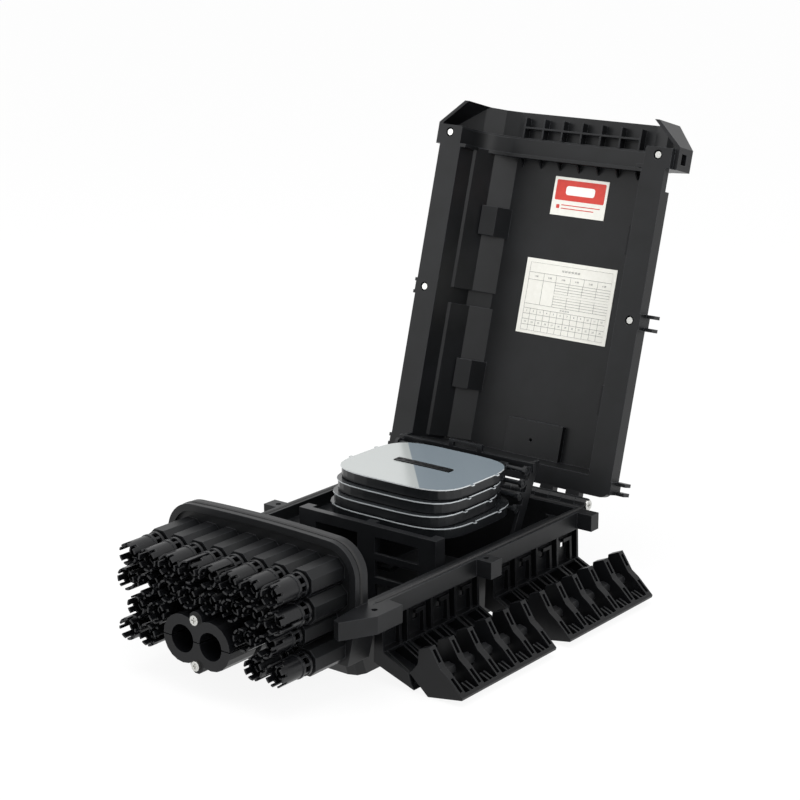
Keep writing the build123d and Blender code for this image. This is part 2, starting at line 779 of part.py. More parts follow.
with BuildPart() as latch_link:
    slab(link_skin, latch_start, latch_length)
    slab(link_ledge, latch_start, latch_length)
    for cell in range(cell_count + 1):
        slab(link_plate, latch_start + cell * cell_pitch, rib)
    # hinge tube
    with BuildSketch(Plane.XZ.offset(-latch_start)) as tube:
        with Locations((link_hinge_x, link_hinge_z)):
            RegularPolygon(link_knuckle, small_flats)
        Polygon((83.8, 50), (90.2, 50), (90.2, 55), (83.8, 55))
    extrude(tube.sketch, amount=-latch_length)
    # raised figure and slit in each cell, and slots for the lugs
    for cell in range(cell_count):
        at = latch_start + cell * cell_pitch
        slab(link_bar, at + 14, 12)
        slab(link_stem, at + 23, 3)
        slab(link_slit, at + 14, 6, Mode.SUBTRACT)
        slab(lug_window, at + lug_offset - lug_slot / 2, lug_slot, Mode.SUBTRACT)
    # pairs of ribs along the arm, one pair at each claw
    for claw in range(claw_count):
        middle = latch_start + claw * claw_pitch + claw_width / 2
        for edge in (-claw_width / 2, claw_width / 2 - arm_rib):
            slab(link_arm_rib, middle + edge, arm_rib)
    # hooks that clip over the rod between the claws
    for hook in range(claw_count - 1):
        at = latch_start + (hook + 0.5) * claw_pitch + claw_width / 2 - clip_width / 2
        with BuildSketch(Plane.XZ.offset(-at)) as clip:
            Polygon(*clip_arm)
            with Locations((lever_x, lever_z)):
                RegularPolygon(rod_radius + clip_wall, small_flats)
                RegularPolygon(rod_radius + turn_gap, small_flats, major_radius=False, mode=Mode.SUBTRACT)
        extrude(clip.sketch, amount=-clip_width)
    with BuildSketch(Plane.XZ.offset(-latch_start)) as bore:
        with Locations((link_hinge_x, link_hinge_z)):
            RegularPolygon(link_pin_radius + turn_gap, small_flats, major_radius=False)
    extrude(bore.sketch, amount=-latch_length, mode=Mode.SUBTRACT)
save_latch(latch_link.part, "latch_link_")

with BuildPart() as link_pin:
    with BuildSketch(Plane.XZ.offset(-latch_start)):
        with Locations((link_hinge_x, link_hinge_z)):
            RegularPolygon(link_pin_radius, small_flats)
    extrude(amount=-latch_length + 8)
save_latch(link_pin.part, "link_pin_")

# Latch lever: six claws on a rod and a ribbed handle, drawn round the rod's centre
claw_outline = [(-13.5, 18.5), (-3.7, 22.7), (6.1, 7.8), (12.6, 3.2), (26.5, -9.9), (26, -12),
                (-5.1, -17.2), (-21.9, -2.6)]
claw_hollow = (-14.6, 6.5)
claw_window = [(-2, 20.5), (3.8, 11.6), (-1.2, 8.6), (-6.8, 17.2)]
handle_window = [(15, 2.5), (24, -6), (20.5, -9.6), (11.4, -1.2)]
handle_skin = [(-5.1, -17.2), (26, -12), (26.5, -9.9), (-5.5, -14.6)]
handle_lip = [(24.5, -8), (26.5, -9.9), (26, -12), (23, -12.4)]
handle_rib = [(12, -14.2), (26, -12), (24.5, -8), (16, -4.5)]


def at_rod(points):
    """Points given from the rod's centre, moved to where the rod lies."""
    return [(lever_x + x, lever_z + z) for x, z in points]


with BuildPart() as latch_lever:
    for claw in range(claw_count):
        at = latch_start + claw * claw_pitch
        corners = at_rod(claw_outline)
        with BuildSketch(Plane.XZ.offset(-at)) as plate:
            Polygon(*corners, at_rod([claw_hollow])[0])
        extrude(plate.sketch, amount=-claw_width)
        slab(at_rod(claw_window), at + claw_wall, claw_width - 2 * claw_wall, Mode.SUBTRACT)
        slab(at_rod(handle_window), at + claw_wall, claw_width - 2 * claw_wall, Mode.SUBTRACT)
    slab(at_rod(handle_skin), latch_start, latch_length)
    slab(at_rod(handle_lip), latch_start, latch_length)
    for gap in range(claw_count - 1):
        for part_way in (0.36, 0.64):
            at = latch_start + claw_width + gap * claw_pitch + part_way * (claw_pitch - claw_width)
            slab(at_rod(handle_rib), at, arm_rib)
    with BuildSketch(Plane.XZ.offset(-latch_start)) as rod:
        with Locations((lever_x, lever_z)):
            RegularPolygon(rod_radius, small_flats)
    extrude(rod.sketch, amount=-latch_length)
save_latch(latch_lever.part, "latch_lever_")

# One drop clamp, drawn round the Y axis with its back at y = 0 and its jaws toward -Y:
# a neck in the sleeve, a collar, and two jaws notched at their tips
with BuildPart() as drop_clamp:
    with BuildSketch(Plane.XZ):
        RegularPolygon(port_radius - neck_step, port_flats)
    extrude(amount=jaw_start)
    with BuildSketch(Plane.XZ.offset(collar_start)):
        RegularPolygon(port_radius + collar_step, port_flats)
    extrude(amount=jaw_start - collar_start)
    with BuildSketch(Plane.XZ.offset(jaw_start)):
        for side in (1, -1):
            Polygon((side * jaw_split, -jaw_half), (side * jaw_reach, -jaw_half / 2),
                    (side * jaw_reach, jaw_half / 2), (side * jaw_split, jaw_half))
    extrude(amount=jaw_end - jaw_start)
    with BuildSketch(Plane.XZ.offset(jaw_end - notch_depth)):
        Rectangle(4 * jaw_reach, notch_width)
    extrude(amount=notch_depth + open_cut, mode=Mode.SUBTRACT)

clamp_base = rim_front - sleeve_length + clamp_seat
for row, places in enumerate(port_rows):
    with BuildPart() as clamp_row:
        for number, (x, z) in enumerate(places):
            with Locations(Location((x, clamp_base, z), (0, turn_step * (number + 3 * row) % 180, 0))):
                add(drop_clamp.part)
    save(clamp_row.part, "drop_clamps_row_" + "abcd"[row])

# Blank seals of the drop ports
with BuildPart() as port_seals:
    with BuildSketch(Plane.XZ.offset(-rim_front + blank_start)):
        with Locations(*all_ports):
            RegularPolygon(port_radius - seat_gap, port_flats, major_radius=False)
    extrude(amount=blank_length)
save(port_seals.part, "port_seals")

# Cable clamp in two halves, its screws and its seal
for name, up in (("upper", 1), ("lower", -1)):
    with BuildPart() as clamp_half:
        with BuildSketch(Plane.XZ.offset(-clamp_back)):
            with Locations((cable_spacing, clamp_level), (-cable_spacing, clamp_level)):
                RegularPolygon(clamp_lobe, lobe_flats)
            with Locations((0, clamp_level + clamp_screw_reach), (0, clamp_level - clamp_screw_reach)):
                RegularPolygon(clamp_boss, round_flats)
        extrude(amount=clamp_back - clamp_front)
        with BuildSketch(Plane.XZ.offset(-clamp_back - clamp_neck)):
            with Locations((cable_spacing, clamp_level), (-cable_spacing, clamp_level)):
                RegularPolygon(neck_radius - face_gap, lobe_flats)
            with Locations((0, clamp_level)):
                Rectangle(2 * cable_spacing, 2 * (neck_radius - 1))
        extrude(amount=clamp_neck)
        with BuildSketch(Plane.XZ.offset(-clamp_front + open_cut)):
            with Locations((cable_spacing, clamp_level), (-cable_spacing, clamp_level)):
                Circle(cable_radius)
            with Locations((0, clamp_level + clamp_screw_reach), (0, clamp_level - clamp_screw_reach)):
                RegularPolygon(clamp_hole, small_flats, major_radius=False)
        extrude(amount=clamp_front - clamp_back - clamp_neck - 2 * open_cut, mode=Mode.SUBTRACT)
        with BuildSketch(Plane.XZ.offset(-clamp_front + open_cut)):
            with Locations((0, clamp_level - up * (2 * clamp_lobe - split_gap / 2))):
                Rectangle(8 * clamp_lobe, 4 * clamp_lobe)
        extrude(amount=clamp_front - clamp_back - clamp_neck - 2 * open_cut, mode=Mode.SUBTRACT)
    save(clamp_half.part, "cable_clamp_" + name)

with BuildPart() as clamp_screws:
    for level in (clamp_level + clamp_screw_reach, clamp_level - clamp_screw_reach):
        with BuildSketch(Plane.XZ.offset(-clamp_front)):
            with Locations((0, level)):
                RegularPolygon(clamp_head, round_flats)
        extrude(amount=clamp_head_height)
        with BuildSketch(Plane.XZ.offset(-clamp_front + clamp_head_height)):
            with Locations((0, level)):
                Rectangle(cross_length, cross_width)
                Rectangle(cross_width, cross_length)
        extrude(amount=-cross_width, mode=Mode.SUBTRACT)
        with BuildSketch(Plane.XZ.offset(-clamp_front)):
            with Locations((0, level)):
                RegularPolygon(clamp_shank, small_flats)
        extrude(amount=-clamp_screw_length)
save(clamp_screws.part, "clamp_screws")

with BuildPart() as cable_seal:
    with BuildSketch(Plane.XZ.offset(-rim_front + seal_offset)):
        with Locations((0, clamp_level)):
            SlotCenterToCenter(2 * cable_spacing, 2 * (neck_radius - seat_gap))
        with Locations((cable_spacing, clamp_level), (-cable_spacing, clamp_level)):
            RegularPolygon(cable_radius - seal_squeeze, lobe_flats, mode=Mode.SUBTRACT)
    extrude(amount=seal_length)
save(cable_seal.part, "cable_seal")


def tray_outline(grow):
    """Superellipse outline of a tray: crowned sides and generous corners."""
    wide = tray_half_width + grow
    long = tray_length / 2 + grow
    points = []
    for step in range(tray_points):
        angle = radians(360 * (step + 0.5) / tray_points)
        across = copysign(abs(cos(angle)) ** tray_roundness, cos(angle))
        along = copysign(abs(sin(angle)) ** tray_roundness, sin(angle))
        points.append((wide * across, long * along))
    Polygon(*points)


# Splice trays, each with its cover, stepped back as they rise; the lowest is larger
for tray in range(tray_count):
    step = tray_count - 1 - tray
    grow = low_tray_grow if tray == 0 else 0
    level = top_cover_level - step * tray_pitch
    floor = level - cover_thickness - tray_height
    pivot_y = tray_front + tray_length + trunnion_inset - step * tray_stagger
    pivot_z = floor + tray_height / 2
    middle = pivot_y - trunnion_inset - tray_length / 2 + (low_tray_shift if tray == 0 else 0)
    tray_plane = Plane((0, middle, floor))
    with BuildPart() as splice_tray:
        with BuildSketch(tray_plane):
            tray_outline(grow)
        extrude(amount=tray_height)
        with BuildSketch(tray_plane.offset(tray_wall)):
            tray_outline(grow - tray_wall)
        extrude(amount=tray_height, mode=Mode.SUBTRACT)
        # winding posts and the splice comb
        with BuildSketch(tray_plane):
            with Locations((-coil_spread, 4), (coil_spread, 4)):
                RegularPolygon(coil_radius, round_flats)
                RegularPolygon(coil_radius - tray_wall, round_flats, mode=Mode.SUBTRACT)
        extrude(amount=tray_height - 0.5)
        with BuildSketch(tray_plane):
            with Locations(*[(comb_pitch * (n - (comb_teeth - 1) / 2), -28) for n in range(comb_teeth)]):
                Rectangle(1.2, 26)
        extrude(amount=tray_height - 1.5)
        # hinge arms and trunnions
        arm_start = middle + tray_length / 2 - 12
        for side in (1, -1):
            with BuildSketch(Plane.XY.offset(floor)):
                with Locations((side * (trunnion_start + 4), (arm_start + pivot_y + 2) / 2)):
                    Rectangle(8, pivot_y + 2 - arm_start)
            extrude(amount=tray_height - 1)
            with BuildSketch(Plane.YZ.offset(side * trunnion_start)):
                with Locations((pivot_y, pivot_z)):
                    RegularPolygon(trunnion_radius, small_flats)
            extrude(amount=side * (rack_half_width - trunnion_start - turn_gap))
    save(splice_tray.part, "splice_tray_" + str(tray + 1))

    with BuildPart() as tray_cover:
        cover_half = tray_half_width + grow
        with BuildSketch(tray_plane.offset(tray_height)):
            tray_outline(grow + cover_overhang)
            with Locations(*[(side * cover_half, y) for side in (1, -1) for y in tab_places]):
                Rectangle(2 * cover_tab, cover_tab)
            with Locations((0, tray_slot_y)):
                Rectangle(tray_slot_length, tray_slot_width, mode=Mode.SUBTRACT)
        extrude(amount=cover_thickness)
    save(tray_cover.part, "tray_cover_" + str(tray + 1))

# Rack: two leaning arms with a seat for each tray, a crossbar with a pull loop and feet
top_pivot_y = tray_front + tray_length + trunnion_inset
top_pivot_z = top_cover_level - cover_thickness - tray_height / 2
lean = tray_stagger / tray_pitch
arm_top = top_pivot_z + crossbar_rise
arm_front = top_pivot_y + rack_arm_offset
arm_foot = arm_front - (top_pivot_z - rack_arm_foot) * lean
leg_middle = arm_foot + rack_arm / 2 + 2
with BuildPart() as tray_rack:
    for side in (1, -1):
        with BuildSketch(Plane.YZ.offset(side * rack_half_width)):
            Polygon((arm_front + crossbar_rise * lean, arm_top),
                    (arm_front + rack_arm + crossbar_rise * lean, arm_top),
                    (arm_foot + rack_arm, rack_arm_foot), (arm_foot, rack_arm_foot))
            for tray in range(tray_count):
                seat_y = top_pivot_y - tray * tray_stagger
                seat_z = top_pivot_z - tray * tray_pitch
                with Locations((seat_y, seat_z)):
                    RegularPolygon(trunnion_radius + 2, small_flats)
                with Locations((seat_y + rack_arm_offset / 2 + 1, seat_z)):
                    Rectangle(rack_arm_offset + 2, 4)
            for tray in range(tray_count):
                seat_y = top_pivot_y - tray * tray_stagger
                seat_z = top_pivot_z - tray * tray_pitch
                with Locations((seat_y, seat_z)):
                    RegularPolygon(trunnion_radius + turn_gap, small_flats, major_radius=False,
                                   mode=Mode.SUBTRACT)
        extrude(amount=-side * rack_plate)
        with BuildSketch(Plane.XY.offset(base_wall)):
            with Locations((side * (rack_leg_half - rack_foot / 2), leg_middle)):
                Rectangle(rack_foot, rack_arm + rack_leg)
        extrude(amount=rack_plate)
        with BuildSketch(Plane.XY.offset(base_wall)):
            with Locations((side * (rack_leg_half + 0.5 - rack_leg / 2), leg_middle)):
                Rectangle(rack_leg, rack_arm)
        extrude(amount=rack_leg_height - base_wall)
    with BuildSketch(Plane.XZ.offset(-arm_front - crossbar_rise * lean + 2.5)):
        with Locations((0, arm_top - crossbar_height / 2)):
            Rectangle(2 * rack_half_width + 4, crossbar_height)
        with Locations((0, arm_top + hoop_height / 2 - 1)):
            Rectangle(2 * hoop_half_width, hoop_height + 2)
            Rectangle(2 * hoop_half_width - 9, hoop_height - 2, mode=Mode.SUBTRACT)
    extrude(amount=-3)
save(tray_rack.part, "tray_rack")

# Holder frame across the tub, with windows for the adapters
with BuildPart() as holder_frame:
    with BuildSketch(Plane.XZ.offset(-frame_y)):
        with Locations((0, (frame_top + base_wall) / 2)):
            Rectangle(2 * frame_foot, frame_top - base_wall)
        for column in (-1, 1):
            for level in frame_levels:
                with Locations((column * frame_foot / 2, level)):
                    Rectangle(frame_foot - 2 * frame_post, frame_window, mode=Mode.SUBTRACT)
    extrude(amount=-frame_plate)
    # top rail, mid post and end blocks
    with BuildSketch(Plane.XY.offset(frame_top)):
        with Locations((0, frame_y + frame_plate)):
            Rectangle(2 * frame_half_width, 2 * frame_plate)
    extrude(amount=-5)
    with BuildSketch(Plane.XY.offset(frame_top)):
        with Locations((0, frame_y + frame_depth / 2)):
            Rectangle(frame_post, frame_depth)
        for side in (1, -1):
            with Locations((side * (frame_half_width - frame_post / 2), frame_y + frame_depth / 2)):
                Rectangle(frame_post, frame_depth)
    extrude(amount=-30)
    with BuildSketch(Plane.XY.offset(base_wall)):
        with Locations((0, frame_y - 4)):
            Rectangle(2 * frame_foot, 10)
    extrude(amount=3)
save(holder_frame.part, "holder_frame")

# Labels on the inside of the lid
for name, x, y, width, length in label_fields:
    with BuildPart() as label:
        with BuildSketch(Plane.XY.offset(lid_top - lid_wall)):
            with Locations((x, y)):
                Rectangle(width, length)
        extrude(amount=-label_thickness)
    save_open(label.part, name)
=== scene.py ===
import math

import bpy
from bpy.props import FloatProperty, FloatVectorProperty, PointerProperty
from mathutils import Matrix, Vector


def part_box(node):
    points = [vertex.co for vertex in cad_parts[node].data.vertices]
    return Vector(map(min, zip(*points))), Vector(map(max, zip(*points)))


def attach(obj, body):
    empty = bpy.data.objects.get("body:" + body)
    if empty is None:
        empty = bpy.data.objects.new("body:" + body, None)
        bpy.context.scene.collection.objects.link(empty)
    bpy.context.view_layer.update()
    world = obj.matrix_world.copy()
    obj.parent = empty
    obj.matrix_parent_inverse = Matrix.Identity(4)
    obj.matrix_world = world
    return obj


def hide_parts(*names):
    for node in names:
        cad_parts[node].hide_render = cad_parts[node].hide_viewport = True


bl_info = {
    "name": "Fibre distribution box",
    "version": (1, 0, 0),
    "blender": (4, 5, 0),
    "location": "View3D > Sidebar > Distribution box",
    "description": "Dresses the pieces of an open fibre distribution box and its studio",
    "category": "Object",
}

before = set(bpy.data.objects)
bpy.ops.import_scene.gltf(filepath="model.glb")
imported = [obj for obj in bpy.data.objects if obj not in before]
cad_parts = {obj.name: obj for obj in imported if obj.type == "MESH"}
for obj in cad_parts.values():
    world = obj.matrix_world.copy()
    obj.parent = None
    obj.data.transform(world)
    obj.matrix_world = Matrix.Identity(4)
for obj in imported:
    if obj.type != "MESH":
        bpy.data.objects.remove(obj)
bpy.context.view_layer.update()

MM = 0.001

# The camera of the photo: where it stands and how it looks, in metres and degrees
CAMERA_PLACE = (0.9779, -1.2312, 0.6199)
CAMERA_TURN = 37.92
CAMERA_DIP = 15.62
CAMERA_LENS = 92.43
CAMERA_SENSOR = 36.0

# The stage: floor size in metres, share of the floor that shows as plain white, and light of the world
FLOOR_SIZE = 12.0
FLOOR_GLOW = 0.9
WORLD_LIGHT = 0.85
LAMP_AIM = (0, 0, 0.1)
# The lamps: name, place and size in metres, power in watts
LAMPS = (("top_softbox", (0.1, -0.2, 1.6), 1.4, 18.0), ("side_softbox", (1.5, -0.4, 0.9), 1.0, 9.0),
         ("left_softbox", (-1.5, -0.9, 0.9), 1.2, 7.0))

# Finishes: the colour of the painted highlight along moulded edges, and the real size of each pattern in
# millimetres
PAINTED_EDGE_HIGHLIGHT = "#34363a"
FLOW_MARKS = 35.0
GRAIN_DEPTH = 0.12
FILM_WAVES = 60.0
FILM_WAVE_DEPTH = 0.4
# the soft width of the edge of the painted reflection on the top cover
REFLECTION_EDGE_BLEND = 0.4
TURNING_MARKS = 0.6
STEEL_EDGE = 0.25
MOTTLE = 4.0
MOTTLE_DEPTH = 0.1
SMOOTH_ANGLE = math.radians(35)

LATCHES = ("front_right", "rear_right", "front_left", "rear_left")
ROWS = "abcd"
TRAYS = (1, 2, 3, 4)

# Sizes and places of the part, in millimetres and degrees
HINGE_PLACE = (0, 153.5, 72)
LID_OPEN = 105.5
CLAMP_BACK = -175.5
TURN_STEP = 37
# Centres of the ports, row by row from the top, as X and Z
PORT_ROWS = ([(20.2 * (i - 3.5), 96) for i in range(8)], [(21 * (i - 3.5), 76) for i in range(8)],
             [(x, 56) for x in (-64, -43, 43, 64)], [(x, 36) for x in (-73.5, -53, 53, 73.5)])

# The drop clamp's crown, from its back: where it starts and ends, and the levels of its bands
CROWN_SIDES = 24
CROWN_START = 9.0
CROWN_END = 41.0
CROWN_LEVELS = (16.5, 19.0, 29.0, 35.5)
CROWN_WALL = 1.5
CROWN_BEVEL = 0.22
CROWN_TOOTH_SIDES = 3
RING_HEIGHT = 2.4
RING_STEP = 0.7
NECK_START = 0.5
NECK_LAP = 1.5
NECK_STEP = 1.1
# The inner grip: its sides, how far it lies inside the crown, its length and how far it rises
GRIP_SIDES = 12
GRIP_STEP = 3.2
GRIP_CLEAR = 2.4
GRIP_LENGTH = 17.0
GRIP_RISE = 6.0
GRIP_DROP = 3.0

# The comb in the slot of the top tray
COMB_CELLS = 18
COMB_LENGTH = 56.0
COMB_WIDTH = 7.4
COMB_SHIFT = 1.5
COMB_STAND = 0.9
COMB_ROWS = 3
COMB_RIM = 0.25
COMB_DEPTH = 0.8
COMB_THICKNESS = 1.2

# A painted reflection on the top cover ends along a line: its normal and how far it is from the origin
REFLECTION_EDGE_NORMAL = (0.745, 0.667, 0.0)
REFLECTION_EDGE_DISTANCE = 28.9

# The sleeve on the middle of the hinge pin, with its raised bands
SLEEVE_HALF = 35.4
SLEEVE_RADIUS = 4.9
SLEEVE_BANDS = 7
SLEEVE_SIDES = 32
SLEEVE_BEVEL = 0.2
BAND_SPAN = (0.2, 0.8)
BAND_RISE = 0.5

# The labels on the lid, drawn in its shut place, where the print faces down
PRINT_LEVEL = 126.08
PRINT_LIFT = 0.05
NUMBER_DEPTH = 0.03
PATCH_THICKNESS = 0.12
PATCH_STEPS = 4
CHART_LEFT = -38.0
CHART_TOP = -45.5
# The chart's ruled fields: left, top, width, height, columns and rows, from its top left corner
CHART_FIELDS = ((4.5, 3.6, 85.8, 8.8, 1, 1), (4.5, 18.9, 15.8, 21.7, 1, 1), (20.3, 18.9, 13.1, 21.7, 1, 1),
                (33.4, 18.9, 56.9, 9.6, 4, 4), (33.4, 30.9, 56.9, 9.7, 4, 4), (4.5, 40.6, 85.8, 4.0, 1, 1),
                (4.5, 44.6, 85.8, 19.5, 12, 4))
CHART_COLUMNS = (4.5, 20.3, 33.4, 48.3, 62.4, 76.5, 90.3)
HEADER_TOP = 12.4
HEADER_HEIGHT = 6.5
HEADER_MIDDLE = 15.8
# The chart's lines of numbers: text, place across and down, and height
CHART_LINES = (("10 20 30 40 50 60", 47.4, 8.2, 2.6), ("01 02 03 04", 47.4, 42.7, 2.0))
NUMBER_SIZE = 2.2
# Its numbered cells: how many, how many in a row, and their place and pitch
CELL_COUNT = 24
CELLS_IN_ROW = 12
CELL_PLACE = (4.5, 47.0)
CELL_PITCH = (7.15, 9.75)
# The small label: its centre, and each patch's shift from it, width, height and corner
SMALL_CENTRE = (5.0, -103.0)
BAND_PATCH = (0, -5.5, 51, 18, 1.2)
WINDOW_PATCH = (0, -5.5, 30, 8, 2.5)
LINE_PATCHES = ((-21, 9.2, 3.4, 3.4, 0.6), (2.5, 7.6, 40, 0.8, 0.3), (-0.5, 10.6, 34, 0.8, 0.3))


def hex_colour(text):
    """A colour written as sRGB hex, as the linear values that a shader takes."""
    values = [int(text[i:i + 2], 16) / 255 for i in (1, 3, 5)]
    return [v / 12.92 if v <= 0.04045 else ((v + 0.055) / 1.055) ** 2.4 for v in values] + [1.0]


def add_node(tree, kind, links=(), **settings):
    """Add a shader node, set its values and sockets, and link sockets that come from others."""
    node = tree.nodes.new(kind)
    for key, value in settings.items():
        if hasattr(node, key) and not key.startswith("in_"):
            setattr(node, key, value)
        else:
            socket = key[3:].replace("_", " ")
            node.inputs[int(socket) if socket.isdigit() else socket].default_value = value
    for socket, source in links:
        tree.links.new(source, node.inputs[socket])
    return node


def new_material(name):
    """An empty node material with its output and Principled shader."""
    material = bpy.data.materials.new(name)
    material.use_nodes = True
    tree = material.node_tree
    tree.nodes.clear()
    output = tree.nodes.new("ShaderNodeOutputMaterial")
    shader = tree.nodes.new("ShaderNodeBsdfPrincipled")
    tree.links.new(shader.outputs["BSDF"], output.inputs["Surface"])
    return material, tree, shader


def ramp(tree, source, stops):
    """A colour ramp with stops of place and hex colour, fed by a value."""
    node = add_node(tree, "ShaderNodeValToRGB", [("Fac", source)])
    elements = node.color_ramp.elements
    while len(elements) < len(stops):
        elements.new(0.5)
    for element, (place, colour) in zip(elements, stops):
        element.position = place
        element.color = hex_colour(colour)
    return node


def moulded_plastic(name, dark, light, rough, grain_mm, edge_mm, shine):
    """Injection-moulded plastic: a fine eroded grain, slow flow marks, softly rounded edges and a painted
    highlight along them.
    """
    material, tree, shader = new_material(name)
    place = add_node(tree, "ShaderNodeTexCoord")
    where = place.outputs["Object"]
    # slow change of tone from the flow of the melt
    flow = add_node(tree, "ShaderNodeTexNoise", [("Vector", where)], in_Scale=1 / (FLOW_MARKS * MM),
                    in_Detail=3.0, in_Roughness=0.6)
    tone = ramp(tree, flow.outputs["Fac"], ((0.3, dark), (0.72, light)))
    # eroded grain of the mould, drawn a little coarse so that it shows
    grain = add_node(tree, "ShaderNodeTexNoise", [("Vector", where)], in_Scale=1 / (grain_mm * MM),
                     in_Detail=2.0, in_Roughness=0.5)
    gloss = add_node(tree, "ShaderNodeMapRange", [("Value", grain.outputs["Fac"])],
                     in_3=rough - 0.07, in_4=rough + 0.07)
    tree.links.new(gloss.outputs["Result"], shader.inputs["Roughness"])
    edge = add_node(tree, "ShaderNodeBevel", samples=4, in_Radius=edge_mm * MM)
    bump = add_node(tree, "ShaderNodeBump", [("Height", grain.outputs["Fac"]),
                                             ("Normal", edge.outputs["Normal"])],
                    in_Strength=0.18, in_Distance=GRAIN_DEPTH * MM)
    tree.links.new(bump.outputs["Normal"], shader.inputs["Normal"])
    # painted highlight along moulded edges: the colour turns paler where the rounded normal leaves the flat
    # one
    plain = add_node(tree, "ShaderNodeNewGeometry")
    lean = add_node(tree, "ShaderNodeVectorMath",
                    [(0, edge.outputs["Normal"]), (1, plain.outputs["Normal"])], operation="DOT_PRODUCT")
    rim = add_node(tree, "ShaderNodeMapRange", [("Value", lean.outputs["Value"])], in_1=0.97, in_2=0.8)
    mixed = add_node(tree, "ShaderNodeMix", [(0, rim.outputs["Result"]), (6, tone.outputs["Color"])],
                     data_type="RGBA", in_7=hex_colour(PAINTED_EDGE_HIGHLIGHT))
    tree.links.new(mixed.outputs[2], shader.inputs["Base Color"])
    shader.inputs["IOR"].default_value = 1.52
    shader.inputs["Specular IOR Level"].default_value = shine
    return material


def clear_film(name, near, far, edge):
    """Clear polystyrene cover: glossy and a little wavy, its colour split along a slanting line by a painted
    reflection, with a painted highlight on its cut edge.
    """
    material, tree, shader = new_material(name)
    place = add_node(tree, "ShaderNodeTexCoord")
    # painted reflection: the left part takes a paler colour, with a sharp slanting edge
    across = add_node(tree, "ShaderNodeVectorMath", [(0, place.outputs["Object"])],
                      operation="DOT_PRODUCT", in_1=REFLECTION_EDGE_NORMAL)
    film = add_node(tree, "ShaderNodeMapRange", [("Value", across.outputs["Value"])],
                    in_1=(REFLECTION_EDGE_DISTANCE - REFLECTION_EDGE_BLEND) * MM, in_2=(REFLECTION_EDGE_DISTANCE + REFLECTION_EDGE_BLEND) * MM)
    wave = add_node(tree, "ShaderNodeTexNoise", [("Vector", place.outputs["Object"])],
                    in_Scale=1 / (FILM_WAVES * MM), in_Detail=1.0)
    tone = ramp(tree, film.outputs["Result"], ((0.0, near), (1.0, far)))
    # painted highlight: faces that do not face up take the pale edge colour
    facing = add_node(tree, "ShaderNodeSeparateXYZ", [("Vector", place.outputs["Normal"])])
    flat = add_node(tree, "ShaderNodeMapRange", [("Value", facing.outputs["Z"])], in_1=0.4, in_2=0.6)
    mixed = add_node(tree, "ShaderNodeMix", [(0, flat.outputs["Result"]), (7, tone.outputs["Color"])],
                     data_type="RGBA", in_6=hex_colour(edge))
    tree.links.new(mixed.outputs[2], shader.inputs["Base Color"])
    bump = add_node(tree, "ShaderNodeBump", [("Height", wave.outputs["Fac"])],
                    in_Strength=0.1, in_Distance=FILM_WAVE_DEPTH * MM)
    tree.links.new(bump.outputs["Normal"], shader.inputs["Normal"])
    shader.inputs["Roughness"].default_value = 0.16
    shader.inputs["IOR"].default_value = 1.59
    return material


def plated_steel(name, colour, rough):
    """Nickel-plated steel: bright, with fine turning marks round the axis."""
    material, tree, shader = new_material(name)
    place = add_node(tree, "ShaderNodeTexCoord")
    marks = add_node(tree, "ShaderNodeTexNoise", [("Vector", place.outputs["Object"])],
                     in_Scale=1 / (TURNING_MARKS * MM), in_Detail=2.0)
    gloss = add_node(tree, "ShaderNodeMapRange", [("Value", marks.outputs["Fac"])],
                     in_3=rough - 0.05, in_4=rough + 0.08)
    tree.links.new(gloss.outputs["Result"], shader.inputs["Roughness"])
    tone = ramp(tree, marks.outputs["Fac"], ((0.2, "#a9a9a6"), (0.8, colour)))
    tree.links.new(tone.outputs["Color"], shader.inputs["Base Color"])
    edge = add_node(tree, "ShaderNodeBevel", samples=4, in_Radius=STEEL_EDGE * MM)
    tree.links.new(edge.outputs["Normal"], shader.inputs["Normal"])
    shader.inputs["Metallic"].default_value = 1.0
    return material


def plain_sheet(name, colour, rough, mottle):
    """Matt printed film or rubber: one colour with a faint mottle."""
    material, tree, shader = new_material(name)
    place = add_node(tree, "ShaderNodeTexCoord")
    cloud = add_node(tree, "ShaderNodeTexNoise", [("Vector", place.outputs["Object"])],
                     in_Scale=1 / (MOTTLE * MM), in_Detail=3.0)
    tone = ramp(tree, cloud.outputs["Fac"], ((0.3, mottle), (0.7, colour)))
    tree.links.new(tone.outputs["Color"], shader.inputs["Base Color"])
    bump = add_node(tree, "ShaderNodeBump", [("Height", cloud.outputs["Fac"])],
                    in_Strength=0.08, in_Distance=MOTTLE_DEPTH * MM)
    tree.links.new(bump.outputs["Normal"], shader.inputs["Normal"])
    shader.inputs["Roughness"].default_value = rough
    return material


def dress(names, material):
    """Give CAD nodes a material."""
    for name in names:
        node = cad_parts[name]
        node.data.materials.clear()
        node.data.materials.append(material)


def select_only(piece):
    """Select one piece alone and make it active."""
    bpy.ops.object.select_all(action="DESELECT")
    piece.select_set(True)
    bpy.context.view_layer.objects.active = piece


def settle(piece, turn=None):
    """Put a piece where a matrix takes it and leave its place in its mesh."""
    select_only(piece)
    if turn is not None:
        piece.matrix_world = turn @ piece.matrix_world
    bpy.ops.object.transform_apply(location=True, rotation=True, scale=True)


def finish_edges(piece, width):
    """Cut the edges of a moulded piece and smooth its round sides."""
    modify(piece, "BEVEL", width=width * MM, segments=1, limit_method="ANGLE")
    bpy.ops.object.shade_smooth_by_angle(angle=SMOOTH_ANGLE)


def modify(piece, kind, **settings):
    """Add one modifier with its settings and apply it."""
    select_only(piece)
    modifier = piece.modifiers.new(kind.title(), kind)
    for key, value in settings.items():
        setattr(modifier, key, value)
    bpy.ops.object.modifier_apply(modifier=modifier.name)


